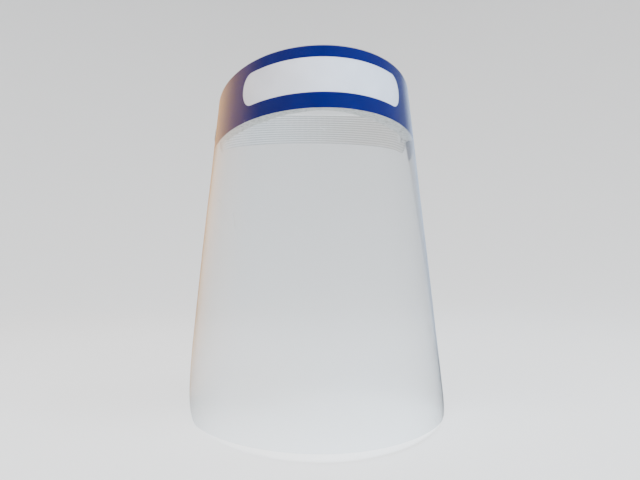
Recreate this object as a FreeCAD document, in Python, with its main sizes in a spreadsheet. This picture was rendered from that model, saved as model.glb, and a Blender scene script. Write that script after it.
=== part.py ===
import FreeCAD, Part
import math
import os

import Sketcher

# Disposable face shield: a flat clear sheet bent round the face by a strap, with a printed
# header band, a foam pad on the forehead and an elastic strap riveted to both ends.
# Millimetres. +Z is up, the wearer looks along -Y, and the origin is the middle of the head
# loop: the point midway between the strap's two pivots.

SIZES = {
    # the clear sheet, as it is cut flat
    "sheet_width": 330.0,
    "sheet_height": 220.0,
    "sheet_thick": 0.3,
    "chin_radius": 50.0,
    "brow_radius": 4.0,
    # the cone that the sheet is bent to: its elliptical section at the brow, and its apex
    "brow_half_width": 66.0,
    "brow_half_depth": 127.0,
    "apex_rise": 468.0,
    "apex_back": 77.0,
    "lean_angle": 7.0,
    # the printed header band and the blank panel let into it
    "band_height": 35.0,
    "film_thick": 0.12,
    "label_length": 123.0,
    "label_height": 19.6,
    "label_drop": 6.6,
    # the adhesive strip and the foam pad
    "tape_thick": 0.2,
    "tape_length": 214.0,
    "tape_height": 26.0,
    "foam_length": 220.0,
    "foam_height": 32.0,
    "foam_depth": 27.0,
    "forehead_half_width": 64.0,
    # the strap
    "strap_width": 25.0,
    "strap_thick": 1.2,
    "strap_straight": 18.0,
    "strap_back": 90.0,
    "strap_rise": 15.0,
    "strap_gap": 3.2,
    "strap_hole_radius": 2.5,
    # the two snap rivets
    "rivet_inset": 12.0,
    "sheet_hole_radius": 2.15,
    "shank_radius": 2.0,
    "shank_grip": 1.2,
    "head_radius": 5.0,
    "head_thick": 1.1,
    "seat_gap": 0.1,
    "washer_radius": 4.6,
    "washer_thick": 1.9,
    "cap_radius": 4.6,
    "cap_thick": 1.8,
    "cap_gap": 1.0,
}

SHEET_MARGIN = 3.0      # how far the cone runs past the sheet's edges before it is trimmed
CUT_REACH = 400.0       # half the width of a cut that trims everything outside an outline
LOOP_STEPS = 1200       # steps round the half section when the sheet is laid on the cone

V = FreeCAD.Vector
doc = FreeCAD.newDocument("face_shield")
sizes = doc.addObject("Spreadsheet::Sheet", "sizes")
for row, (alias, value) in enumerate(SIZES.items(), start=1):
    sizes.set(f"A{row}", alias)
    sizes.set(f"B{row}", str(value))
    sizes.setAlias(f"B{row}", alias)
doc.recompute()


def size(alias):
    """A driving dimension, read back from the sheet."""
    return float(sizes.get(alias))


# ---------------------------------------------------------------- the sheet on its cone

def generator_directions():
    """Unit directions from the apex to points round half the brow section, and the flat
    angle each one has turned through from the front."""
    half_width, half_depth = size("brow_half_width"), size("brow_half_depth")
    apex_y = size("apex_back") - half_depth
    directions, angles = [], []
    for step in range(LOOP_STEPS + 1):
        turn = step * 0.75 * math.pi / LOOP_STEPS
        across, along = half_width * math.sin(turn), -half_depth * math.cos(turn)
        direction = V(across, along - apex_y, -size("apex_rise"))
        direction.normalize()
        angles.append(angles[-1] + (direction - directions[-1]).Length if directions else 0.0)
        directions.append(direction)
    return directions, angles


DIRECTIONS, ANGLES = generator_directions()


def bend(across, down):
    """Where a point of the flat sheet lies once it is bent. Across is measured from the
    middle of the top edge, down from the top edge. The frame is the cone's: its origin is
    the middle of the brow section and +Z points to the apex."""
    apex = V(0, size("apex_back") - size("brow_half_depth"), size("apex_rise"))
    front_length = math.hypot(size("apex_back"), size("apex_rise"))
    angle = math.atan2(abs(across), front_length + down)
    index = next(i for i, value in enumerate(ANGLES) if value >= angle) or 1
    part = (angle - ANGLES[index - 1]) / (ANGLES[index] - ANGLES[index - 1])
    direction = DIRECTIONS[index - 1] * (1 - part) + DIRECTIONS[index] * part
    point = apex + direction * math.hypot(across, front_length + down)
    return V(math.copysign(point.x, across), point.y, point.z)


def sheet_normal(across, down):
    """The sheet's normal at a flat point, towards the wearer."""
    here = bend(across, down)
    normal = (bend(across + 1, down) - here).cross(bend(across, down + 1) - here)
    normal.normalize()
    return normal if normal.dot(V(-across, 0, 0)) > 0 else normal * -1


RIVET_ACROSS = size("sheet_width") / 2 - size("rivet_inset")
RIVET_DOWN = size("band_height") / 2
RIVET_POINT = bend(RIVET_ACROSS, RIVET_DOWN)
RIVET_NORMAL = sheet_normal(RIVET_ACROSS, RIVET_DOWN)
PIVOT_DEPTH = size("sheet_thick") + size("film_thick") + size("strap_gap") + size("strap_thick") / 2
PIVOT_POINT = RIVET_POINT + RIVET_NORMAL * PIVOT_DEPTH


def cone_placement():
    """The cone's frame, leant so that the band lies level, with the pivots on the X axis."""
    lean = FreeCAD.Rotation(V(1, 0, 0), size("lean_angle"))
    pivot = lean.multVec(V(0, PIVOT_POINT.y, PIVOT_POINT.z))
    return FreeCAD.Placement(pivot * -1, lean)


CONE = cone_placement()
PIVOT_X = PIVOT_POINT.x


# ---------------------------------------------------------------- sketches and features

def new_body(label, placement=FreeCAD.Placement()):
    body = doc.addObject("PartDesign::Body", label)
    body.Label = label
    body.Placement = placement
    return body


def new_sketch(body, name, role, heights=None):
    """A sketch on one of the body's own planes; heights maps attachment offsets to formulas."""
    sketch = body.newObject("Sketcher::SketchObject", f"{body.Name}_{name}")
    plane = next(item for item in body.Origin.OriginFeatures if item.Role == role)
    sketch.AttachmentSupport = [(plane, "")]
    sketch.MapMode = "FlatFace"
    for path, formula in (heights or {}).items():
        sketch.setExpression(f"AttachmentOffset.Base.{path}", formula)
    return sketch


def bound(sketch, constraint, formula):
    """Adds a dimension and ties it to the sheet."""
    index = sketch.addConstraint(constraint)
    sketch.setExpression(f"Constraints[{index}]", formula)


def circle_sketch(body, name, role, centre, radius):
    """A round hole's outline, with its radius tied to the sheet."""
    sketch = new_sketch(body, name, role)
    sketch.addGeometry(Part.Circle(centre, V(0, 0, 1), 1))
    sketch.addConstraint(Sketcher.Constraint("DistanceX", -1, 1, 0, 3, centre.x))
    sketch.addConstraint(Sketcher.Constraint("DistanceY", -1, 1, 0, 3, centre.y))
    bound(sketch, Sketcher.Constraint("Radius", 0, 1), radius)
    return sketch


def ellipse_sketch(body, name, height, half_width, half_depth, centre_y):
    """An ellipse, long from front to back, on a level plane of the body."""
    sketch = new_sketch(body, name, "XY_Plane", {"z": height, "y": centre_y})
    sketch.addGeometry(Part.Ellipse(V(0, 120, 0), V(60, 0, 0), V(0, 0, 0)))
    sketch.exposeInternalGeometry(0)
    sketch.addConstraint(Sketcher.Constraint("Coincident", 0, 3, -1, 1))
    sketch.addConstraint(Sketcher.Constraint("Vertical", 1))
    bound(sketch, Sketcher.Constraint("Distance", 1, 240), f"2 * ({half_depth})")
    bound(sketch, Sketcher.Constraint("Distance", 2, 120), f"2 * ({half_width})")
    return sketch


def cone_section(body, name, height, inset,
                 half_width="sizes.brow_half_width", half_depth="sizes.brow_half_depth"):
    """The cone's section at a height above the brow plane, drawn in by an inset."""
    grow = f"(1 - ({height}) / sizes.apex_rise)"
    return ellipse_sketch(
        body, name, height,
        f"({half_width}) * {grow} - ({inset})",
        f"({half_depth}) * {grow} - ({inset})",
        f"(sizes.apex_back - sizes.brow_half_depth) * (1 - {grow})",
    )


def loft(body, kind, name, profile, section):
    feature = body.newObject(f"PartDesign::{kind}", f"{body.Name}_{name}")
    feature.Profile = (profile, [""])
    feature.Sections = [(section, [""])]
    feature.Ruled = True
    profile.Visibility = section.Visibility = False
    doc.recompute()
    return feature


def frustum(body, kind, name, low, inset, **half_axes):
    """A solid cone, from just above the brow plane down to a height below it."""
    upper = cone_section(body, f"{name}_top", f"{SHEET_MARGIN}", inset, **half_axes)
    lower = cone_section(body, f"{name}_low", low, inset, **half_axes)
    return loft(body, kind, name, upper, lower)


def pocket_through(body, name, sketch):
    """Cuts the sketch through the whole body, both ways, and proves that it cut."""
    before = body.Shape.Volume
    pocket = body.newObject("PartDesign::Pocket", f"{body.Name}_{name}")
    pocket.Profile = (sketch, [""])
    pocket.Type = "ThroughAll"
    pocket.Midplane = True
    doc.recompute()
    if not body.Shape.Volume < before - 1e-6:
        raise RuntimeError(f"{pocket.Name} cut nothing")
    return pocket


def add_chain(sketch, pieces):
    """Draws a closed chain and fixes it. Each piece is the points it passes: two make a
    straight line and three make an arc."""
    for piece in pieces:
        curve = Part.LineSegment(*piece) if len(piece) == 2 else Part.Arc(*piece)
        index = sketch.addGeometry(curve)
        sketch.addConstraint(Sketcher.Constraint("Block", index))


def add_frame(sketch):
    """A square well outside the body, so that a cut takes everything outside the outline."""
    corners = [V(x, y, 0) for x, y in ((-1, -1), (1, -1), (1, 1), (-1, 1))]
    corners = [corner * CUT_REACH for corner in corners]
    add_chain(sketch, [(corners[i], corners[(i + 1) % 4]) for i in range(4)])


def side(across, down):
    """A flat point of the sheet, as it is seen from the side."""
    point = bend(across, down)
    return V(point.y, point.z, 0)


def front(across, down):
    """A flat point of the sheet, as it is seen from the front."""
    point = bend(across, down)
    return V(point.x, point.z, 0)


def strip_outline(half_length, top, low, top_radius=0.0, low_radius=0.0):
    """A strip of the sheet seen from the side, from the front to one end, with its two rear
    corners rounded and its front run out past the cone."""
    def corner(radius, down, way):
        middle = radius * (1 - math.sqrt(0.5))
        return (side(half_length - radius, down), side(half_length - middle, down + way * middle),
                side(half_length, down + way * radius))

    ahead = V(-2 * SHEET_MARGIN, 0, 0)
    chain = [(side(0, top) + ahead, side(0, top)),
             (side(0, top), side((half_length - top_radius) / 2, top), side(half_length - top_radius, top))]
    if top_radius:
        chain.append(corner(top_radius, top, 1))
    chain.append((side(half_length, top + top_radius), side(half_length, low - low_radius)))
    if low_radius:
        chain.append(tuple(reversed(corner(low_radius, low, -1))))
    chain += [(side(half_length - low_radius, low), side((half_length - low_radius) / 2, low), side(0, low)),
              (side(0, low), side(0, low) + ahead),
              (side(0, low) + ahead, side(0, top) + ahead)]
    return chain


def label_outline():
    """The blank panel seen from the front: a long strip with round ends."""
    radius = size("label_height") / 2
    straight = size("label_length") / 2 - radius
    top, low = size("label_drop"), size("label_drop") + size("label_height")
    middle = top + radius
    return [(front(-straight, top), front(0, top), front(straight, top)),
            (front(straight, top), front(straight + radius, middle), front(straight, low)),
            (front(straight, low), front(0, low), front(-straight, low)),
            (front(-straight, low), front(-straight - radius, middle), front(-straight, top))]


def keep_inside(body, role, outline):
    """Trims the body to an outline drawn on one of its planes."""
    sketch = new_sketch(body, "outline", role)
    add_frame(sketch)
    add_chain(sketch, outline)
    return pocket_through(body, "trim", sketch)


def conical_layer(label, outer, inner, low):
    """A thin layer of the bent sheet, between two insets from its outer face."""
    body = new_body(label, CONE)
    frustum(body, "AdditiveLoft", "outside", low, outer)
    frustum(body, "SubtractiveLoft", "inside", low, inner)
    return body


# ---------------------------------------------------------------- the sheet and what it carries

SHEET_LOW = "-sizes.sheet_height * 1.12"
BAND_LOW = "-sizes.band_height * 2.4"
FILM_OUT = "sizes.sheet_thick"
FILM_IN = "sizes.sheet_thick + sizes.film_thick"
TAPE_IN = f"{FILM_IN} + sizes.tape_thick"


def add_rivet_holes(body):
    """The hole at each end that a rivet's shank goes through."""
    centre = V(RIVET_POINT.y, RIVET_POINT.z, 0)
    sketch = circle_sketch(body, "rivet_holes", "YZ_Plane", centre, "sizes.sheet_hole_radius")
    pocket_through(body, "rivet_hole_cut", sketch)


def visor_sheet():
    body = conical_layer("visor_sheet", "0", FILM_OUT, SHEET_LOW)
    keep_inside(body, "YZ_Plane", strip_outline(
        size("sheet_width") / 2, 0, size("sheet_height"), size("brow_radius"), size("chin_radius")))
    add_rivet_holes(body)


def header_band():
    body = conical_layer("header_band", FILM_OUT, FILM_IN, BAND_LOW)
    keep_inside(body, "YZ_Plane", strip_outline(
        size("sheet_width") / 2, 0, size("band_height"), size("brow_radius")))
    window = new_sketch(body, "window", "XZ_Plane")
    add_chain(window, label_outline())
    pocket_through(body, "window_cut", window)
    add_rivet_holes(body)


def label_panel():
    body = conical_layer("label_panel", FILM_OUT, FILM_IN, BAND_LOW)
    keep_inside(body, "YZ_Plane", strip_outline(size("label_length") / 2, 0, size("band_height")))
    keep_inside(body, "XZ_Plane", label_outline())


def centred_strip(length, height):
    """A strip of the sheet that lies along the middle of the header band."""
    top = (size("band_height") - height) / 2
    return strip_outline(length / 2, top, top + height)


def foam_tape():
    body = conical_layer("foam_tape", FILM_IN, TAPE_IN, BAND_LOW)
    keep_inside(body, "YZ_Plane", centred_strip(size("tape_length"), size("tape_height")))


def foam_cushion():
    """The pad fills the space between the tape and the forehead, so it is deepest in front."""
    body = new_body("foam_cushion", CONE)
    frustum(body, "AdditiveLoft", "outside", BAND_LOW, TAPE_IN)
    frustum(body, "SubtractiveLoft", "forehead", BAND_LOW, "0",
            half_width="sizes.forehead_half_width", half_depth="sizes.brow_half_depth - sizes.foam_depth")
    keep_inside(body, "YZ_Plane", centred_strip(size("foam_length"), size("foam_height")))


# ---------------------------------------------------------------- the strap

def strap_profile():
    """The strap seen from above: straight past each pivot and half an ellipse round the back."""
    outer, inner = PIVOT_X + size("strap_thick") / 2, PIVOT_X - size("strap_thick") / 2
    bend_y, front_y = size("strap_straight"), -size("strap_width") / 2
    depth = size("strap_back") - bend_y
    curves = []
    for half_width, half_depth in ((outer, depth + size("strap_thick")), (inner, depth)):
        ellipse = Part.Ellipse(V(0, bend_y + half_depth, 0), V(-half_width, bend_y, 0), V(0, bend_y, 0))
        curves.append(Part.ArcOfEllipse(ellipse, -math.pi / 2, math.pi / 2))
        for sign in (-1, 1):
            curves.append(Part.LineSegment(V(sign * half_width, front_y, 0), V(sign * half_width, bend_y, 0)))
    for sign in (-1, 1):
        curves.append(Part.LineSegment(V(sign * inner, front_y, 0), V(sign * outer, front_y, 0)))
    return curves


def strap_end_corners(radius):
    """What is cut off to round the strap's two ends, seen from the side."""
    reach = 2 * radius
    return [(V(0, -reach, 0), V(-reach, -reach, 0)), (V(-reach, -reach, 0), V(-reach, reach, 0)),
            (V(-reach, reach, 0), V(0, reach, 0)), (V(0, reach, 0), V(0, radius, 0)),
            (V(0, radius, 0), V(-radius, 0, 0), V(0, -radius, 0)), (V(0, -radius, 0), V(0, -reach, 0))]


def strap():
    body = new_body("strap", FreeCAD.Placement(V(), FreeCAD.Rotation(V(1, 0, 0), size("strap_rise"))))
    profile = new_sketch(body, "profile", "XY_Plane")
    for curve in strap_profile():
        index = profile.addGeometry(curve)
        profile.addConstraint(Sketcher.Constraint("Block", index))
    pad = body.newObject("PartDesign::Pad", "strap_pad")
    pad.Profile = (profile, [""])
    pad.Midplane = True
    pad.setExpression("Length", "sizes.strap_width")
    doc.recompute()
    corners = new_sketch(body, "corners", "YZ_Plane")
    add_chain(corners, strap_end_corners(size("strap_width") / 2))
    pocket_through(body, "round_ends", corners)
    holes = circle_sketch(body, "holes", "YZ_Plane", V(), "sizes.strap_hole_radius")
    pocket_through(body, "hole_cut", holes)


# ---------------------------------------------------------------- the snap rivets

def rivet_placement(sign):
    """A rivet's frame: its origin on the sheet's outer face, its +Z square to the sheet and
    towards the wearer. The wearer's left is +X."""
    point, normal = CONE.multVec(RIVET_POINT), CONE.Rotation.multVec(RIVET_NORMAL)
    point.x, normal.x = sign * point.x, sign * normal.x
    return FreeCAD.Placement(point, FreeCAD.Rotation(V(0, 0, 1), normal))


def turned(label, placement, outline):
    """A body turned from a half section, given as radius and height. A third point in a
    piece makes it an arc."""
    body = new_body(label, placement)
    sketch = new_sketch(body, "section", "XZ_Plane")
    add_chain(sketch, [tuple(V(*point, 0) for point in piece) for piece in outline])
    turn = body.newObject("PartDesign::Revolution", f"{label}_turn")
    turn.Profile = (sketch, [""])
    turn.ReferenceAxis = (sketch, ["V_Axis"])
    turn.Angle = 360
    doc.recompute()


def joined(points):
    """The sides of a closed outline through the points."""
    return [(points[i], points[(i + 1) % len(points)]) for i in range(len(points))]


def dome(rim_radius, rim_height, top_height):
    """Half of a shallow dome's section, from its rim to its top on the axis."""
    rise = abs(top_height - rim_height)
    ball = (rim_radius**2 + rise**2) / (2 * rise)
    way = math.copysign(1, top_height - rim_height)
    middle = top_height - way * (ball - math.sqrt(ball**2 - rim_radius**2 / 4))
    return ((rim_radius, rim_height), (rim_radius / 2, middle), (0, top_height))


def rivet_parts():
    """Each rivet is a headed shank from outside, a washer that keeps the strap off the
    flared sheet, and a cap snapped on from inside."""
    head, shank = size("head_radius"), size("shank_radius")
    top, rim = -size("head_thick"), -size("head_thick") / 3
    seat = size("sheet_thick") + size("film_thick") + size("seat_gap")
    cap_low = seat - size("seat_gap") + size("strap_gap") + size("strap_thick") + size("cap_gap")
    cap_top, shank_top = cap_low + size("cap_thick"), cap_low + size("shank_grip")
    cap, edge = size("cap_radius"), size("cap_thick") / 3
    washer, washer_top = size("washer_radius"), seat + size("washer_thick")
    under = -size("seat_gap")
    rivet = [dome(head, rim, top), ((head, rim), (head, under)), ((head, under), (shank, under)),
             ((shank, under), (shank, shank_top)), ((shank, shank_top), (0, shank_top)),
             ((0, shank_top), (0, top))]
    cap_outline = [((0, shank_top), (shank, shank_top)), ((shank, shank_top), (shank, cap_low)),
                   ((shank, cap_low), (cap, cap_low)), ((cap, cap_low), (cap, cap_top - edge)),
                   dome(cap, cap_top - edge, cap_top), ((0, cap_top), (0, shank_top))]
    ring = joined([(shank, seat), (washer, seat), (washer, washer_top), (shank, washer_top)])
    return {"rivet": rivet, "washer": ring, "rivet_cap": cap_outline}


def rivets():
    for name, outline in rivet_parts().items():
        for hand, sign in (("left", 1), ("right", -1)):
            turned(f"{hand}_{name}", rivet_placement(sign), outline)


# ---------------------------------------------------------------- build, check and write

def checked_bodies():
    """Every body, once nothing in the document has failed."""
    doc.recompute()
    for item in doc.Objects:
        if "Invalid" in item.State or "Error" in item.State:
            raise RuntimeError(f"{item.Name} failed: {item.State}")
    bodies = [item for item in doc.Objects if item.TypeId == "PartDesign::Body"]
    for body in bodies:
        if body.Shape.isNull() or not body.Shape.isValid() or len(body.Shape.Solids) != 1:
            raise RuntimeError(f"{body.Label} is not one sound solid")
    return bodies


def main():
    visor_sheet()
    header_band()
    label_panel()
    foam_tape()
    foam_cushion()
    strap()
    rivets()
    os.makedirs("parts", exist_ok=True)
    for body in checked_bodies():
        body.Shape.exportStep(os.path.join("parts", f"{body.Label}.step"))
        print(f"{body.Label}: {body.Shape.Volume:.1f} mm3")
    print(f"pivots at x = {PIVOT_X:.3f} mm")


main()
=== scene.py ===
import math

import bmesh
import bpy
import numpy as np
from mathutils import Matrix, Vector, noise


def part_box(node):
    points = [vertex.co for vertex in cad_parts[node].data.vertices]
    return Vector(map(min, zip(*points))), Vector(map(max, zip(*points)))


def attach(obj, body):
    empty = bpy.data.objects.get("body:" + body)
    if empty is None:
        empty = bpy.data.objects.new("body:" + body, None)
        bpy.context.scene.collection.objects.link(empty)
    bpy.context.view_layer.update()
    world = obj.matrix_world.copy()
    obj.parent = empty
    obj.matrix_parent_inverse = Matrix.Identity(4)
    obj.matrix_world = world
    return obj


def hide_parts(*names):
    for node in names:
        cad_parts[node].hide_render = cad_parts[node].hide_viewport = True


# Disposable face shield, worn attitude: +Z up, the wearer looks along -Y, metres.

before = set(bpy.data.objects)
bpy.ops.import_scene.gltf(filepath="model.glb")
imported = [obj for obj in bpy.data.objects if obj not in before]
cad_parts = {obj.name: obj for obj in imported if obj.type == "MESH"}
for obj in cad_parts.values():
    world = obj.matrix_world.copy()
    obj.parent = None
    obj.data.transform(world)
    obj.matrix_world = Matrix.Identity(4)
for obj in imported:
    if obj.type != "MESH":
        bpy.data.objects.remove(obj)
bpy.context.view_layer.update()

# ---------------------------------------------------------------- the design's driving sizes

SHEET_WIDTH, SHEET_HEIGHT, SHEET_THICK = 0.330, 0.220, 0.0003
BROW_RADIUS, CHIN_RADIUS = 0.004, 0.050
BROW_HALF_WIDTH, BROW_HALF_DEPTH = 0.066, 0.127
APEX_RISE, APEX_BACK = 0.468, 0.077
LEAN = math.radians(7)
BAND_HEIGHT, FILM_THICK = 0.035, 0.00012
LABEL_LENGTH, LABEL_HEIGHT, LABEL_DROP = 0.123, 0.0196, 0.0066
TAPE_LENGTH, TAPE_HEIGHT, TAPE_THICK = 0.214, 0.026, 0.0002
FOAM_LENGTH, FOAM_HEIGHT, FOAM_DEPTH = 0.220, 0.032, 0.027
FOREHEAD_HALF_WIDTH = 0.064
STRAP_WIDTH, STRAP_THICK = 0.025, 0.0012
STRAP_STRAIGHT, STRAP_BACK, STRAP_RISE = 0.018, 0.090, math.radians(15)
STRAP_GAP, STRAP_HOLE_RADIUS = 0.0032, 0.0025
CORDS, RIB_DEPTH, STITCH = 13, 0.00022, 0.0011
RIVET_INSET, SHEET_HOLE_RADIUS = 0.012, 0.00215
HEAD_RADIUS, HEAD_THICK, SHANK_RADIUS = 0.005, 0.0011, 0.002
WASHER_RADIUS, WASHER_THICK = 0.0046, 0.0019
CAP_RADIUS, CAP_THICK, CAP_GAP, SEAT_GAP = 0.0046, 0.0018, 0.001, 0.0001
STUB, DIMPLE_FLOOR, DIMPLE_LIP = 0.0012, 0.0009, 0.0012
WAVINESS = 0.00009
FILM_BACK = SHEET_THICK + FILM_THICK
TAPE_BACK = FILM_BACK + TAPE_THICK

# ---------------------------------------------------------------- the bent sheet

APEX_Y = APEX_BACK - BROW_HALF_DEPTH
FRONT_LENGTH = math.hypot(APEX_BACK, APEX_RISE)


def cone_table(steps=1200):
    """Unit directions from the cone's apex round half its brow section, and the flat angle
    that each has turned through from the front."""
    turn = np.linspace(0, 0.75 * math.pi, steps + 1)
    ways = np.stack([BROW_HALF_WIDTH * np.sin(turn), -BROW_HALF_DEPTH * np.cos(turn) - APEX_Y,
                     np.full_like(turn, -APEX_RISE)], -1)
    ways /= np.linalg.norm(ways, axis=-1, keepdims=True)
    steps_turned = np.linalg.norm(np.diff(ways, axis=0), axis=-1)
    return ways, np.concatenate([[0], np.cumsum(steps_turned)])


WAYS, ANGLES = cone_table()


def on_cone(across, down):
    """Where points of the flat sheet lie once it is bent, in the cone's own frame."""
    across, down = np.broadcast_arrays(np.asarray(across, float), np.asarray(down, float))
    reach = FRONT_LENGTH + down
    angle = np.arctan2(np.abs(across), reach)
    way = np.stack([np.interp(angle, ANGLES, WAYS[:, axis]) for axis in range(3)], -1)
    point = way * np.hypot(across, reach)[..., None]
    point[..., 0] *= np.where(across < 0, -1, 1)
    return point + np.array([0, APEX_Y, APEX_RISE])


def lean(points):
    """Turns points from the cone's frame to the row's, without its shift."""
    x, y, z = np.moveaxis(points, -1, 0)
    back = y * math.cos(LEAN) - z * math.sin(LEAN)
    up = y * math.sin(LEAN) + z * math.cos(LEAN)
    return np.stack([x, back, up], -1)


VISOR_LOW, VISOR_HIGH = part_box("visor_sheet")
FRONT_SHIFT = np.array([0, VISOR_LOW.y - lean(on_cone(0, SHEET_HEIGHT))[1],
                        VISOR_HIGH.z - lean(on_cone(0, 0))[2]])


def ripple(across, down):
    """How far a hand-cut sheet strays from the true cone: a slow, faint waviness."""
    wave = np.sin(across * 71 + np.sin(down * 31) * 1.3) * np.sin(down * 43 + 0.8)
    wave = wave + 0.6 * np.sin(across * 29 - down * 57 + 2.0)
    return WAVINESS * wave


def on_sheet(across, down, depth=0.0):
    """A point of the bent sheet in the row's frame, at a depth behind its outer face."""
    places = [np.asarray(value, float) for value in (across, down, depth)]
    across, down, depth = np.broadcast_arrays(*places)
    step = 0.0005
    here = on_cone(across, down)
    inward = np.cross(on_cone(across + step, down) - here, on_cone(across, down + step) - here)
    inward /= np.linalg.norm(inward, axis=-1, keepdims=True)
    return lean(here + inward * (depth + ripple(across, down))[..., None]) + FRONT_SHIFT


# ---------------------------------------------------------------- meshes

def new_piece(name, mesh, material, body, slot, *nodes):
    piece = bpy.data.objects.new(name, mesh)
    bpy.context.scene.collection.objects.link(piece)
    mesh.materials.append(material)
    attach(piece, body)
    if nodes:
        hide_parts(*nodes)
    return piece


def smooth(mesh, sharp_degrees=50):
    mesh.shade_smooth()
    mesh.set_sharp_from_angle(angle=math.radians(sharp_degrees))


def grid_faces(rows, columns, first=0, flip=False):
    faces = []
    for row in range(rows - 1):
        for column in range(columns - 1):
            corner = first + row * columns + column
            face = (corner, corner + 1, corner + columns + 1, corner + columns)
            faces.append(face[::-1] if flip else face)
    return faces


def shell_mesh(name, outer, inner, flat, rim_material=0):
    """A closed thin sheet between two grids of points. flat holds each point's place on the
    flat sheet, for the materials."""
    rows, columns = outer.shape[:2]
    count = rows * columns
    points = np.concatenate([outer.reshape(-1, 3), inner.reshape(-1, 3)])
    faces = grid_faces(rows, columns) + grid_faces(rows, columns, count, flip=True)
    broad_faces = len(faces)
    rim = [*range(columns), *(row * columns + columns - 1 for row in range(1, rows)),
           *(count - 1 - column for column in range(1, columns)),
           *(row * columns for row in range(rows - 2, 0, -1))]
    for here, there in zip(rim, rim[1:] + rim[:1]):
        faces.append((there, here, here + count, there + count))
    mesh = bpy.data.meshes.new(name)
    mesh.from_pydata(points.tolist(), [], faces)
    mesh.polygons.foreach_set("material_index", [0] * broad_faces + [rim_material] * len(rim))
    places = np.concatenate([flat.reshape(-1, 3)] * 2)
    attribute = mesh.attributes.new("flat_place", "FLOAT_VECTOR", "POINT")
    attribute.data.foreach_set("vector", places.astype(np.float32).ravel())
    tidy_mesh(mesh)
    return mesh


def tidy_mesh(mesh):
    """Merges the points that meet at a round end, and turns every face outwards."""
    work = bmesh.new()
    work.from_mesh(mesh)
    bmesh.ops.remove_doubles(work, verts=work.verts, dist=2e-6)
    bmesh.ops.dissolve_degenerate(work, edges=work.edges, dist=1e-7)
    bmesh.ops.recalc_face_normals(work, faces=work.faces)
    work.to_mesh(mesh)
    work.free()
    smooth(mesh)


def rounded(radius, steps):
    """Distances from an edge that step evenly round a corner of that radius."""
    turn = np.linspace(0, math.pi / 2, steps + 1)
    return radius * (1 - np.cos(turn))


def corner_width(from_edge, radius):
    """How far a round corner has drawn the side in, at a distance from the edge."""
    inside = np.clip(radius - from_edge, 0, radius)
    return radius - np.sqrt(radius**2 - inside**2)


def flat_strip(half_length, top, low, top_radius=0.0, low_radius=0.0, *, rows, columns):
    """The flat places, across and down, of a strip whose corners may be rounded."""
    upper = top + rounded(top_radius, 8) if top_radius else np.array([top])
    lower = (low - rounded(low_radius, 24))[::-1] if low_radius else np.array([low])
    down = np.concatenate([upper, np.linspace(upper[-1], lower[0], rows + 1)[1:-1], lower])
    half = np.full_like(down, half_length)
    if top_radius:
        half -= corner_width(down - top, top_radius)
    if low_radius:
        half -= corner_width(low - down, low_radius)
    share = np.linspace(-1, 1, columns + 1)
    return share[None, :] * half[:, None], np.broadcast_to(down[:, None], (len(down), columns + 1))


def flat_pill(half_length, top, height, columns=200, rows=16):
    """The flat places of a long strip with half-round ends."""
    radius = height / 2
    straight = half_length - radius
    ends = rounded(radius, 14)
    between = np.linspace(-straight, straight, columns)[1:-1]
    across = np.concatenate([-half_length + ends, between, (half_length - ends)[::-1]])
    inside = np.clip(np.abs(across) - straight, 0, radius)
    half = np.sqrt(np.clip(radius**2 - inside**2, 0, None))
    share = np.linspace(-1, 1, rows + 1)
    return (np.broadcast_to(across[None, :], (rows + 1, len(across))),
            top + radius + share[:, None] * half[None, :])


def sheet_layer(name, places, outer_depth, inner_depth, rim_material=0):
    """A layer of the bent sheet between two depths behind the sheet's outer face."""
    across, down = places
    flat = np.stack([across, down, np.zeros_like(across)], -1)
    outer, inner = on_sheet(across, down, outer_depth), on_sheet(across, down, inner_depth)
    return shell_mesh(name, outer, inner, flat, rim_material)


# ---------------------------------------------------------------- materials

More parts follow.
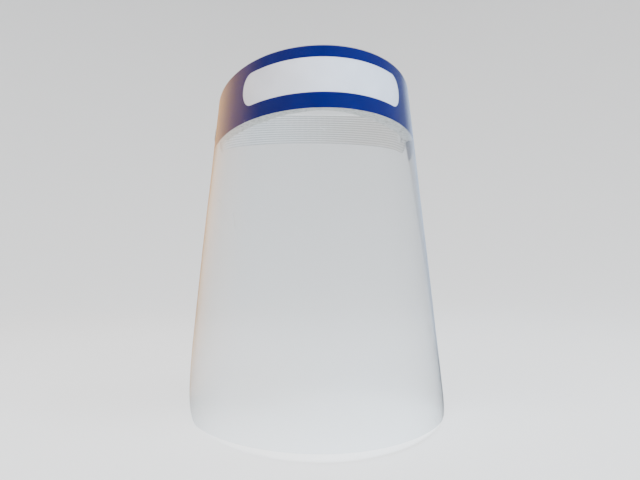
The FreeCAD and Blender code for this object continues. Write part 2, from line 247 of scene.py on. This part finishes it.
class Paint:
    """A node material with one Principled shader, and short calls for its nodes."""

    def __init__(self, name, color, roughness, **sockets):
        self.material = bpy.data.materials.new(name)
        self.material.use_nodes = True
        self.tree = self.material.node_tree
        self.shader = self.tree.nodes["Principled BSDF"]
        self.shader.inputs["Base Color"].default_value = (*color, 1)
        self.shader.inputs["Roughness"].default_value = roughness
        for socket, value in sockets.items():
            self.shader.inputs[socket.replace("_", " ")].default_value = value

    def node(self, kind, values=None, **links):
        """Adds a node, with values for its sockets or settings and links into its sockets."""
        made = self.tree.nodes.new(f"ShaderNode{kind}")
        for key, value in (values or {}).items():
            if key in made.inputs:
                made.inputs[key].default_value = value
            else:
                setattr(made, key, value)
        for socket, source in links.items():
            self.tree.links.new(source, made.inputs[socket.replace("_", " ")])
        return made

    def place(self, attribute=None, turn=0.0, shift=(0, 0, 0)):
        """Coordinates for a texture: the row's frame, or a named attribute."""
        if attribute:
            source = self.node("Attribute", {"attribute_name": attribute}).outputs["Vector"]
        else:
            source = self.node("TexCoord").outputs["Object"]
        if not turn:
            return source
        mapping = self.node("Mapping", {"Rotation": (0, 0, turn), "Location": shift}, Vector=source)
        return mapping.outputs["Vector"]

    def noise(self, place, scale, detail=4.0):
        values = {"Scale": scale, "Detail": detail, "Roughness": 0.55}
        return self.node("TexNoise", values, Vector=place).outputs["Fac"]

    def cells(self, place, scale, feature):
        values = {"Scale": scale, "feature": feature}
        return self.node("TexVoronoi", values, Vector=place).outputs["Distance"]

    def remap(self, value, low, high, to_low=0, to_high=1):
        limits = {"From Min": low, "From Max": high, "To Min": to_low, "To Max": to_high}
        return self.node("MapRange", limits, Value=value).outputs["Result"]

    def combine(self, operation, first, second):
        made = self.node("Math", {"operation": operation})
        self.tree.links.new(first, made.inputs[0])
        self.tree.links.new(second, made.inputs[1])
        return made.outputs[0]

    def product(self, first, second):
        return self.combine("MULTIPLY", first, second)

    def bump(self, height, distance, strength=1.0, normal=None):
        made = self.node("Bump", {"Strength": strength, "Distance": distance}, Height=height)
        if normal:
            self.tree.links.new(normal, made.inputs["Normal"])
        return made.outputs["Normal"]

    def blend(self, amount, first, second):
        made = self.node("Mix", {"data_type": "RGBA"})
        made.inputs[6].default_value, made.inputs[7].default_value = (*first, 1), (*second, 1)
        self.tree.links.new(amount, made.inputs[0])
        return made.outputs[2]

    def wire(self, value, socket):
        self.tree.links.new(value, self.shader.inputs[socket])


WAVE_PERIOD = math.pi / 10      # of a Wave texture at a scale of 1


def rubbed_lines(paint, turn, spacing, seed):
    """Sparse hairline scratches, all running roughly one way over the flat sheet."""
    place = paint.place("flat_place", turn=turn, shift=(seed, seed, 0))
    pattern = {"Scale": WAVE_PERIOD / spacing, "Distortion": 7.0, "Detail": 2.0, "Detail Scale": 0.6}
    lines = paint.node("TexWave", pattern, Vector=place).outputs["Fac"]
    short = paint.remap(paint.noise(place, 38.0, 2.0), 0.63, 0.70)
    return paint.product(paint.remap(lines, 0.9992, 1.0), short)


def clear_plastic():
    """Clear polyester: glossy and a little wavy, with handling haze and hairline scratches."""
    paint = Paint("clear_sheet", (0.90, 0.935, 0.96), 0.02, IOR=1.57, Transmission_Weight=1.0)
    steep = rubbed_lines(paint, 1.1, 0.011, 0.3)
    level = rubbed_lines(paint, 0.25, 0.014, 0.7)
    scratches = paint.combine("MAXIMUM", steep, level)
    haze = paint.remap(paint.noise(paint.place("flat_place"), 45.0, 3.0), 0.35, 0.75, 0.0, 0.05)
    scored = paint.remap(scratches, 0, 1, 0, 0.45)
    paint.wire(paint.combine("ADD", haze, scored), "Roughness")
    paint.wire(paint.bump(scratches, 0.00002, 0.6), "Normal")
    return paint.material


def shaded_cut_edge():
    """The die-cut rim of the sheet, which is frosted and gathers the sheet's faint blue; its dark
    grey-blue colour is painted shade for the light its edge traps.
    """
    # Painted shade: the rim is coloured dark grey-blue for the light trapped in the sheet's edge, over the
    # sheet's own faint blue tint.
    paint = Paint("shaded_cut_edge", (0.2, 0.27, 0.33), 0.4, IOR=1.57, Transmission_Weight=0.1)
    tooth = paint.noise(paint.place(), 2600.0, 3.0)
    shade = paint.blend(paint.remap(tooth, 0.3, 0.7), (0.15, 0.21, 0.27), (0.26, 0.33, 0.39))
    paint.wire(shade, "Base Color")
    paint.wire(paint.bump(tooth, 0.00004, 0.5), "Normal")
    return paint.material


def printed_film(name, dark, light):
    """Ink on film. The gloss in front is the sheet's own, so the ink itself hardly shines."""
    paint = Paint(name, light, 0.5, Specular_IOR_Level=0.08)
    cloud = paint.noise(paint.place("flat_place"), 70.0, 5.0)
    grain = paint.noise(paint.place("flat_place"), 2400.0, 2.0)
    mottle = paint.remap(paint.product(cloud, grain), 0.1, 0.42)
    paint.wire(paint.blend(mottle, dark, light), "Base Color")
    paint.wire(paint.remap(cloud, 0.3, 0.7, 0.42, 0.6), "Roughness")
    paint.wire(paint.bump(grain, 0.00001, 0.4), "Normal")
    return paint.material


def open_foam():
    """Cut polyurethane foam: fine open cells, whose hollows are darkened with painted shade."""
    paint = Paint("foam", (0.8, 0.8, 0.77), 0.95, Specular_IOR_Level=0.15, Sheen_Weight=0.15)
    place = paint.place()
    small = paint.cells(place, 1100.0, "F1")
    large = paint.cells(place, 520.0, "SMOOTH_F1")
    lumps = paint.noise(place, 240.0, 6.0)
    # Painted shade: the cell pattern darkens the white foam to grey, standing for shade in its hollows
    # rather than a colour of the foam.
    painted_hollow_shade = paint.product(paint.remap(large, 0.25, 0.7, 0.2, 1), paint.remap(small, 0.2, 0.7, 0.3, 1))
    paint.wire(paint.blend(painted_hollow_shade, (0.87, 0.87, 0.84), (0.40, 0.40, 0.37)), "Base Color")
    fine = paint.bump(small, 0.0006)
    coarse = paint.bump(large, 0.0010, normal=fine)
    paint.wire(paint.bump(lumps, 0.0006, 0.6, coarse), "Normal")
    return paint.material


def adhesive():
    """Dull, cream double-sided tape."""
    paint = Paint("adhesive", (0.8, 0.78, 0.7), 0.6)
    paint.wire(paint.bump(paint.noise(paint.place(), 900.0), 0.0001, 0.5), "Normal")
    return paint.material


def knitted_elastic():
    """White knitted elastic: a row of stitches crosses each cord about every millimetre. Painted shade
    darkens the grooves between the cords and between the stitch rows.
    """
    paint = Paint("elastic", (0.80, 0.80, 0.79), 0.85, Specular_IOR_Level=0.2,
                  Sheen_Weight=0.3, Sheen_Roughness=0.5)
    place = paint.place("strap_place")
    lengthways = {"Scale": WAVE_PERIOD * CORDS / STRAP_WIDTH, "bands_direction": "Y",
                  "wave_profile": "SIN", "Phase Offset": math.pi / 2}
    crossways = {"Scale": WAVE_PERIOD / STITCH, "bands_direction": "X",
                 "Distortion": 0.8, "Detail Scale": 2.0}
    cords = paint.node("TexWave", lengthways, Vector=place).outputs["Fac"]
    stitches = paint.node("TexWave", crossways, Vector=place).outputs["Fac"]
    # Painted light and shade: the rib tops and stitches stay white while the grooves between them are
    # darkened as shade.
    painted_rib_light = paint.product(paint.remap(cords, 0.05, 0.6, 0.25, 1), paint.remap(stitches, 0.0, 0.5, 0.45, 1))
    fuzz = paint.noise(place, 2500.0, 4.0)
    paint.wire(paint.blend(painted_rib_light, (0.36, 0.36, 0.37), (0.88, 0.88, 0.87)), "Base Color")
    weave = paint.bump(stitches, 0.0003, 0.9)
    paint.wire(paint.bump(fuzz, 0.00015, 0.5, weave), "Normal")
    return paint.material


def moulded_nylon():
    """White nylon with the fine grain of its mould."""
    paint = Paint("rivet_nylon", (0.80, 0.81, 0.82), 0.38, Subsurface_Weight=0.1, Subsurface_Scale=0.001)
    grain = paint.noise(paint.place(), 1800.0, 3.0)
    shade = paint.blend(paint.remap(grain, 0.3, 0.7), (0.74, 0.75, 0.76), (0.84, 0.85, 0.86))
    paint.wire(shade, "Base Color")
    paint.wire(paint.remap(grain, 0.3, 0.7, 0.3, 0.48), "Roughness")
    paint.wire(paint.bump(grain, 0.00003, 0.5), "Normal")
    return paint.material


# ---------------------------------------------------------------- the sheet and its films

def make_sheet():
    """The clear sheet. It casts no shadow, as so thin a clear sheet hardly does."""
    places = flat_strip(SHEET_WIDTH / 2, 0, SHEET_HEIGHT, BROW_RADIUS, CHIN_RADIUS, rows=80, columns=280)
    mesh = sheet_layer("clear_visor", places, 0.0, SHEET_THICK, rim_material=1)
    visor = new_piece("clear_visor", mesh, clear_plastic(), "shield", "clear_sheet", "visor_sheet")
    visor.data.materials.append(shaded_cut_edge())
    punch(visor, SHEET_HOLE_RADIUS)
    visor.visible_shadow = False


BOND = 0.00002              # how far a film's face sits inside the sheet's, so that no air shows between
FILM_INSET = 0.0002         # how far the print stops short of the sheet's cut edge


def make_films():
    """The printed band, its label and the tape behind them, each bent with the sheet."""
    places = flat_strip(SHEET_WIDTH / 2 - FILM_INSET, FILM_INSET, BAND_HEIGHT, BROW_RADIUS,
                        rows=24, columns=280)
    mesh = sheet_layer("blue_band", places, SHEET_THICK - BOND, FILM_BACK)
    blue = printed_film("blue_print", (0.0, 0.003, 0.11), (0.0, 0.006, 0.145))
    band = new_piece("blue_band", mesh, blue, "shield", "blue_print", "header_band")
    punch(band, SHEET_HOLE_RADIUS)
    places = flat_pill(LABEL_LENGTH / 2, LABEL_DROP, LABEL_HEIGHT)
    mesh = sheet_layer("white_label", places, SHEET_THICK - 2 * BOND, SHEET_THICK + FILM_THICK / 2)
    white = printed_film("white_print", (0.68, 0.70, 0.77), (0.79, 0.81, 0.88))
    new_piece("white_label", mesh, white, "shield", "white_print", "label_panel")
    top = (BAND_HEIGHT - TAPE_HEIGHT) / 2
    places = flat_strip(TAPE_LENGTH / 2, top, top + TAPE_HEIGHT, rows=8, columns=160)
    mesh = sheet_layer("tape_strip", places, FILM_BACK, TAPE_BACK)
    new_piece("tape_strip", mesh, adhesive(), "shield", "adhesive", "foam_tape")


# ---------------------------------------------------------------- the foam pad

def foam_lattice(share, height, depth):
    """A point of the pad: share runs from end to end, height from top to bottom and depth
    from the tape to the forehead, which is an ellipse round the same cone."""
    top = (BAND_HEIGHT - FOAM_HEIGHT) / 2
    down = top + height * FOAM_HEIGHT
    outer = on_sheet(share * FOAM_LENGTH / 2, down, TAPE_BACK)
    end = on_cone(FOAM_LENGTH / 2, down)
    level = on_cone(share * FOAM_LENGTH / 2, down)[..., 2]
    grow = 1 - level / APEX_RISE
    half_width, half_depth = FOREHEAD_HALF_WIDTH * grow, (BROW_HALF_DEPTH - FOAM_DEPTH) * grow
    centre = APEX_Y * (1 - grow)
    end_turn = np.arccos(np.clip((centre - end[..., 1]) / half_depth, -1, 1))
    turn = end_turn * share
    inner = np.stack([half_width * np.sin(turn), centre - half_depth * np.cos(turn), level], -1)
    inner = lean(inner) + FRONT_SHIFT
    return outer + (inner - outer) * np.asarray(depth)[..., None]


def with_support(count, support):
    """Steps from 0 to 1 with a tight one at each end, which keeps an edge crisp."""
    return np.concatenate([[0, support], np.linspace(0, 1, count + 1)[1:-1], [1 - support, 1]])


def lattice_box(shares, heights, depths, point):
    """The six faces of a bent block."""
    steps = (shares, heights, depths)
    points, faces, seen = [], [], {}

    def index(place):
        if place not in seen:
            seen[place] = len(points)
            points.append([steps[axis][place[axis]] for axis in range(3)])
        return seen[place]

    def face(fixed, level, first, i, second, j):
        for step_i, step_j in ((0, 0), (1, 0), (1, 1), (0, 1)):
            place = {fixed: level, first: i + step_i, second: j + step_j}
            yield index((place[0], place[1], place[2]))

    for fixed, first, second in ((2, 0, 1), (1, 0, 2), (0, 1, 2)):
        for level in (0, len(steps[fixed]) - 1):
            for i in range(len(steps[first]) - 1):
                for j in range(len(steps[second]) - 1):
                    faces.append(list(face(fixed, level, first, i, second, j)))
    places = np.array(points)
    return point(places[:, 0], places[:, 1], places[:, 2]), faces


BLADE_WAVES, BLADE_DEPTH = 110.0, 0.00028
OPEN_CELLS, PIT_DEPTH = 520.0, 0.00042


def cut_surface(point):
    """How far the cut face of the foam stands in or out at a point: slow waves left by the
    blade, and the pits of the larger cells it opened."""
    slow = noise.noise(point * BLADE_WAVES)
    cell = noise.voronoi(point * OPEN_CELLS)[0][0]
    return BLADE_DEPTH * slow + PIT_DEPTH * (min(cell, 0.6) - 0.35)


def make_foam():
    """The brow pad, a bent block of cut foam with crisp edges and a pitted surface."""
    shares = with_support(84, 0.005) * 2 - 1
    heights, depths = with_support(9, 0.035), with_support(8, 0.04)
    points, faces = lattice_box(shares, heights, depths, foam_lattice)
    mesh = bpy.data.meshes.new("foam_pad")
    mesh.from_pydata(points.tolist(), [], faces)
    tidy_mesh(mesh)
    pad = new_piece("foam_pad", mesh, open_foam(), "shield", "foam", "foam_cushion")
    subdivide(pad, 2)
    roughen(pad.data, cut_surface)


def roughen(mesh, height):
    """Moves every point of a mesh along its normal by a height that depends on where it is."""
    places, ways = np.empty((2, len(mesh.vertices) * 3), np.float32)
    mesh.vertices.foreach_get("co", places)
    mesh.vertex_normals.foreach_get("vector", ways)
    places, ways = places.reshape(-1, 3), ways.reshape(-1, 3)
    heights = np.array([height(Vector(place)) for place in places], np.float32)
    mesh.vertices.foreach_set("co", (places + ways * heights[:, None]).ravel())
    mesh.update()


def subdivide(piece, levels):
    """Rounds a piece by subdivision and keeps the finer mesh."""
    modifier = piece.modifiers.new("rounding", "SUBSURF")
    modifier.levels = modifier.render_levels = levels
    apply_modifiers(piece)


def apply_modifiers(piece):
    """Bakes a piece's modifiers into its mesh."""
    depsgraph = bpy.context.evaluated_depsgraph_get()
    mesh = bpy.data.meshes.new_from_object(piece.evaluated_get(depsgraph))
    piece.modifiers.clear()
    piece.data = mesh


# ---------------------------------------------------------------- the rivets

RIVET_ACROSS, RIVET_DOWN = SHEET_WIDTH / 2 - RIVET_INSET, BAND_HEIGHT / 2
RIVET_POINT = on_sheet(RIVET_ACROSS, RIVET_DOWN)
RIVET_AXIS = on_sheet(RIVET_ACROSS, RIVET_DOWN, 0.01) - RIVET_POINT
RIVET_AXIS /= np.linalg.norm(RIVET_AXIS)


def rivet_frame(sign):
    """Stands a turned part on the sheet at one rivet, its Z pointing into the loop."""
    axis = Vector((sign * RIVET_AXIS[0], RIVET_AXIS[1], RIVET_AXIS[2]))
    turn = axis.to_track_quat("Z", "Y").to_matrix().to_4x4()
    return Matrix.Translation((sign * RIVET_POINT[0], RIVET_POINT[1], RIVET_POINT[2])) @ turn


def punch(piece, radius, reach=0.004):
    """Cuts both rivets' round holes through a piece."""
    cutters = []
    for sign in (1, -1):
        mesh = lathe("punch", [(0, -reach), (radius, -reach), (radius, reach), (0, reach)])
        mesh.transform(rivet_frame(sign))
        cutter = bpy.data.objects.new("punch", mesh)
        bpy.context.scene.collection.objects.link(cutter)
        hole = piece.modifiers.new("hole", "BOOLEAN")
        hole.operation, hole.solver, hole.object = "DIFFERENCE", "EXACT", cutter
        cutters.append(cutter)
    apply_modifiers(piece)
    for cutter in cutters:
        bpy.data.objects.remove(cutter, do_unlink=True)
    smooth(piece.data)


def lathe(name, outline, segments=64, ring=False):
    """A mesh turned about Z from radius and height points. The outline of a ring closes on
    itself, and any other starts and ends on the axis or at an open rim."""
    turns = np.linspace(0, 2 * math.pi, segments, endpoint=False)
    points = [(radius * math.cos(turn), radius * math.sin(turn), height)
              for radius, height in outline for turn in turns]
    rows = [row * segments for row in range(len(outline))]
    faces = []
    for row, above in zip(rows, rows[1:] + rows[:1] if ring else rows[1:]):
        for column in range(segments):
            beside = (column + 1) % segments
            faces.append((row + column, row + beside, above + beside, above + column))
    mesh = bpy.data.meshes.new(name)
    mesh.from_pydata(points, [], faces)
    tidy_mesh(mesh)
    return mesh


def round_corner(radius, height, size, out, up, steps=5):
    """Points round a convex corner at that radius and height, from its side to its top."""
    points = []
    for step in range(steps + 1):
        turn = step * math.pi / 2 / steps
        side = radius - out * size * (1 - math.cos(turn))
        points.append((side, height - up * size * (1 - math.sin(turn))))
    return points


def rivet_outline(shank_top):
    """A low domed head with a moulding dimple, outside the sheet, on a plain shank."""
    dimple = -HEAD_THICK * 0.86
    dome = [(radius, -HEAD_THICK + (radius / HEAD_RADIUS) ** 2 * HEAD_THICK * 0.45)
            for radius in np.linspace(0.0016, HEAD_RADIUS * 0.94, 10)]
    side = [(HEAD_RADIUS, -HEAD_THICK * 0.42), (HEAD_RADIUS, -HEAD_THICK * 0.22)]
    under = [(HEAD_RADIUS * 0.975, -SEAT_GAP), (SHANK_RADIUS, -SEAT_GAP)]
    shank = [(SHANK_RADIUS, shank_top), (0, shank_top)]
    centre = [(0, dimple), (DIMPLE_FLOOR, dimple), (DIMPLE_LIP, -HEAD_THICK * 0.97)]
    return [*centre, *dome, *side, *under, *shank]


def washer_outline(seat):
    """A flat ring with rounded outer edges."""
    top = seat + WASHER_THICK
    lower = round_corner(WASHER_RADIUS, seat, 0.0005, 1, -1)[::-1]
    upper = round_corner(WASHER_RADIUS, top, 0.0005, 1, 1)
    return [(SHANK_RADIUS, seat), *lower, *upper, (SHANK_RADIUS, top)]


def cap_outline(low, shank_top):
    """A domed cap with a moulding dimple, hollow where the shank's end goes in."""
    top = low + CAP_THICK
    dimple = top - 0.0003
    dome = [(radius, top - (radius / CAP_RADIUS) ** 2 * CAP_THICK * 0.35)
            for radius in np.linspace(CAP_RADIUS, 0.0015, 10)]
    socket = [(0, shank_top), (SHANK_RADIUS, shank_top), (SHANK_RADIUS, low)]
    rim = round_corner(CAP_RADIUS, low, 0.0003, 1, -1)[::-1]
    return [*socket, *rim, *dome, (DIMPLE_LIP, top - 0.0001), (DIMPLE_FLOOR, dimple), (0, dimple)]


def rivet_outlines():
    """The turned sections of one rivet's pieces, with the sheet's outer face at height 0."""
    seat = FILM_BACK + SEAT_GAP
    cap_low = FILM_BACK + STRAP_GAP + STRAP_THICK + CAP_GAP
    shank_top = cap_low + STUB
    return {"rivet": rivet_outline(shank_top), "washer": washer_outline(seat),
            "rivet_cap": cap_outline(cap_low, shank_top)}


def make_rivets():
    """Both sides' rivets, washers and caps. The left one is at +X."""
    nylon = moulded_nylon()
    for name, outline in rivet_outlines().items():
        for hand, sign in (("left", 1), ("right", -1)):
            mesh = lathe(f"{hand}_{name}_turned", outline, ring=(name == "washer"))
            mesh.transform(rivet_frame(sign))
            new_piece(f"{hand}_{name}_turned", mesh, nylon, "shield", "rivet_nylon", f"{hand}_{name}")


# ---------------------------------------------------------------- the strap

STRAP_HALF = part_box("strap")[1].x - STRAP_THICK / 2
RIB_FULLNESS, EDGE_SQUARENESS = 0.7, 30


def along(route, run, places):
    """The points of a route at distances along it."""
    return np.stack([np.interp(places, run, route[:, axis]) for axis in range(2)], -1)


def strap_route(steps=300):
    """The strap's middle line seen from above, from the right pivot's end to the left's: how
    far along it each point is, the points, the way it runs and its half width there."""
    depth = STRAP_BACK - STRAP_STRAIGHT + STRAP_THICK / 2
    turn = np.linspace(-math.pi / 2, math.pi / 2, 2001)
    curve = np.stack([STRAP_HALF * np.sin(turn), STRAP_STRAIGHT + depth * np.cos(turn)], -1)
    ends = [np.array([[side * STRAP_HALF, -STRAP_WIDTH / 2]]) for side in (-1, 1)]
    route = np.concatenate([ends[0], curve, ends[1]])
    run = np.concatenate([[0], np.cumsum(np.linalg.norm(np.diff(route, axis=0), axis=-1))])
    radius = STRAP_WIDTH / 2
    tip = rounded(radius, 16)
    even = np.concatenate([tip, np.linspace(radius, run[-1] - radius, steps)[1:-1], (run[-1] - tip)[::-1]])
    way = along(route, run, even + 1e-4) - along(route, run, even - 1e-4)
    way /= np.linalg.norm(way, axis=-1, keepdims=True)
    into_tip = np.clip(radius - np.minimum(even, run[-1] - even), 0, radius)
    half = np.sqrt(np.clip(radius**2 - into_tip**2, 0, None))
    return even, along(route, run, even), way, half


def strap_face(side, across_count=104):
    """One face of the strap: side is 1 outside and -1 inside. Its cords stand up as ribs."""
    even, line, way, half = strap_route()
    share = np.linspace(-1, 1, across_count + 1)
    rib = RIB_DEPTH * np.abs(np.cos(share * math.pi * CORDS / 2)) ** RIB_FULLNESS
    edge = np.sqrt(np.clip(1 - np.abs(share) ** EDGE_SQUARENESS, 0, 1))
    thick = (STRAP_THICK / 2 - RIB_DEPTH + rib) * edge
    out = np.stack([-way[:, 1], way[:, 0]], -1)
    x = line[:, None, 0] + side * out[:, None, 0] * thick[None, :]
    y = line[:, None, 1] + side * out[:, None, 1] * thick[None, :]
    z = np.broadcast_to(share[None, :] * half[:, None], x.shape)
    back = y * math.cos(STRAP_RISE) - z * math.sin(STRAP_RISE)
    up = y * math.sin(STRAP_RISE) + z * math.cos(STRAP_RISE)
    points = np.stack([x, back, up], -1)
    places = np.stack([np.broadcast_to(even[:, None], x.shape), z, np.zeros_like(x)], -1)
    return points, places


def make_strap():
    """The elastic head strap, which turns with its own body about both rivets."""
    outer, places = strap_face(1)
    inner, _ = strap_face(-1)
    mesh = shell_mesh("elastic_strap", outer, inner, places)
    mesh.attributes["flat_place"].name = "strap_place"
    band = new_piece("elastic_strap", mesh, knitted_elastic(), "strap", "elastic", "strap")
    punch(band, STRAP_HOLE_RADIUS, 0.012)


# ---------------------------------------------------------------- stage, lights and camera

FLOOR_Z = VISOR_LOW.z - 0.0006
MIDDLE = Vector((0, -0.03, -0.09))
FLOOR_REACH, SWEEP, WALL_HEIGHT = 0.9, 2.5, 3.4
SURROUND_RADIUS, SURROUND_LOW, SURROUND_HEIGHT = 0.9, 0.001, 0.8

# The surround's colours, by share of a turn from -X: 0.25 is the wearer's front, 0.75 behind.
SURROUND = ((0.00, (0.30, 0.28, 0.26)), (0.12, (0.16, 0.16, 0.17)), (0.25, (0.10, 0.11, 0.13)),
            (0.38, (0.14, 0.16, 0.19)), (0.50, (0.24, 0.28, 0.33)), (0.62, (0.34, 0.40, 0.50)),
            (0.68, (0.85, 1.05, 1.40)), (0.73, (0.36, 0.40, 0.48)), (0.75, (0.38, 0.34, 0.31)),
            (0.77, (1.15, 0.68, 0.30)), (0.83, (1.60, 0.95, 0.44)), (0.90, (1.05, 0.66, 0.36)),
            (1.00, (0.30, 0.28, 0.26)))


def link_stage(name, data):
    made = bpy.data.objects.new(name, data)
    bpy.context.scene.collection.objects.link(made)
    return made


def turned_bowl(name, profile, material):
    """Part of the set turned about the vertical, from radius and height points above the floor."""
    mesh = lathe(name, [(radius, FLOOR_Z + height) for radius, height in profile], segments=96)
    mesh.materials.append(material)
    bowl = link_stage(name, mesh)
    return bowl


def make_backdrop():
    """A pale floor that sweeps up into a wall all round the object."""
    turns = np.linspace(0, math.pi / 2, 24)
    sweep = [(FLOOR_REACH + SWEEP * math.sin(turn), SWEEP * (1 - math.cos(turn))) for turn in turns]
    profile = [(0, 0), *sweep, (FLOOR_REACH + SWEEP, WALL_HEIGHT)]
    pale = Paint("backdrop", (0.77, 0.77, 0.77), 0.8, Specular_IOR_Level=0.2)
    turned_bowl("backdrop", profile, pale.material)


def surround_paint():
    """Soft shades round the set: a dark front, a warm wall behind at -X and a cool window behind
    at +X, dimmer towards the floor."""
    paint = Paint("surround", (0, 0, 0), 1.0, Specular_IOR_Level=0.0, Emission_Strength=1.0)
    place = paint.node("TexCoord").outputs["Object"]
    way = paint.node("TexGradient", {"gradient_type": "RADIAL"}, Vector=place).outputs["Fac"]
    shades = paint.node("ValToRGB", Fac=way)
    ramp = shades.color_ramp
    ramp.interpolation = "EASE"
    for share, color in SURROUND[1:-1]:
        ramp.elements.new(share)
    for element, (share, color) in zip(ramp.elements, SURROUND):
        element.position, element.color = share, (*color, 1)
    height = paint.node("SeparateXYZ", Vector=place).outputs["Z"]
    paint.wire(shades.outputs["Color"], "Emission Color")
    paint.wire(paint.remap(height, FLOOR_Z + 0.025, FLOOR_Z + 0.21, 0.75, 1), "Emission Strength")
    paint.material.cycles.emission_sampling = "NONE"
    return paint.material


def make_surround():
    """What glossy surfaces mirror in place of the pale set, so that a clear sheet shows its edges."""
    profile = [(0, SURROUND_LOW), (SURROUND_RADIUS, SURROUND_LOW), (SURROUND_RADIUS, SURROUND_HEIGHT)]
    bowl = turned_bowl("surround", profile, surround_paint())
    bowl.visible_camera = bowl.visible_diffuse = bowl.visible_transmission = bowl.visible_shadow = False


def softbox(name, place, width, height, power, color, target=MIDDLE):
    """A soft light. It shows in reflections, but not through the clear sheet."""
    light = bpy.data.lights.new(name, "AREA")
    light.shape = "RECTANGLE"
    light.size, light.size_y = width, height
    light.energy, light.color = power, color
    lamp = link_stage(name, light)
    lamp.location = place
    lamp.rotation_euler = (Vector(target) - Vector(place)).to_track_quat("-Z", "Y").to_euler()
    lamp.visible_transmission = False


def make_lights():
    """A broad soft light from above, a cool one in front at +X and a warm one in front at -X."""
    softbox("overhead", (0, 0.3, 2.6), 3.4, 3.4, 122, (1, 1, 1), (0, 0.3, 0))
    softbox("cool_key", (0.75, -0.95, 1.35), 0.9, 0.8, 48, (0.76, 0.88, 1.0))
    softbox("warm_fill", (-0.85, -0.9, 1.2), 0.8, 0.8, 18, (1.0, 0.82, 0.64))
    world = bpy.data.worlds.new("studio")
    world.use_nodes = True
    background = world.node_tree.nodes["Background"]
    background.inputs["Color"].default_value = (0.97, 0.98, 1.0, 1)
    background.inputs["Strength"].default_value = 0.2
    bpy.context.scene.world = world


CAMERA_PLACE = Vector((-0.0279, -0.459, -0.0907))
CAMERA_LENS, CAMERA_SENSOR = 35.0, 36.0
CAMERA_HEADING, CAMERA_RISE, CAMERA_ROLL = math.radians(4.0), math.radians(1.66), -0.012


def make_camera():
    """The camera looks up a little at the shield from in front, slightly to the wearer's right."""
    camera = link_stage("camera", bpy.data.cameras.new("camera"))
    camera.location = CAMERA_PLACE
    camera.data.lens, camera.data.sensor_width = CAMERA_LENS, CAMERA_SENSOR
    camera.data.clip_start = 0.01
    way = Vector((math.sin(CAMERA_HEADING) * math.cos(CAMERA_RISE),
                  math.cos(CAMERA_HEADING) * math.cos(CAMERA_RISE), math.sin(CAMERA_RISE)))
    turn = way.to_track_quat("-Z", "Y").to_matrix() @ Matrix.Rotation(CAMERA_ROLL, 3, "Z")
    camera.rotation_euler = turn.to_euler()
    bpy.context.scene.camera = camera


make_sheet()
make_films()
make_foam()
make_rivets()
make_strap()
make_backdrop()
make_surround()
make_lights()
make_camera()
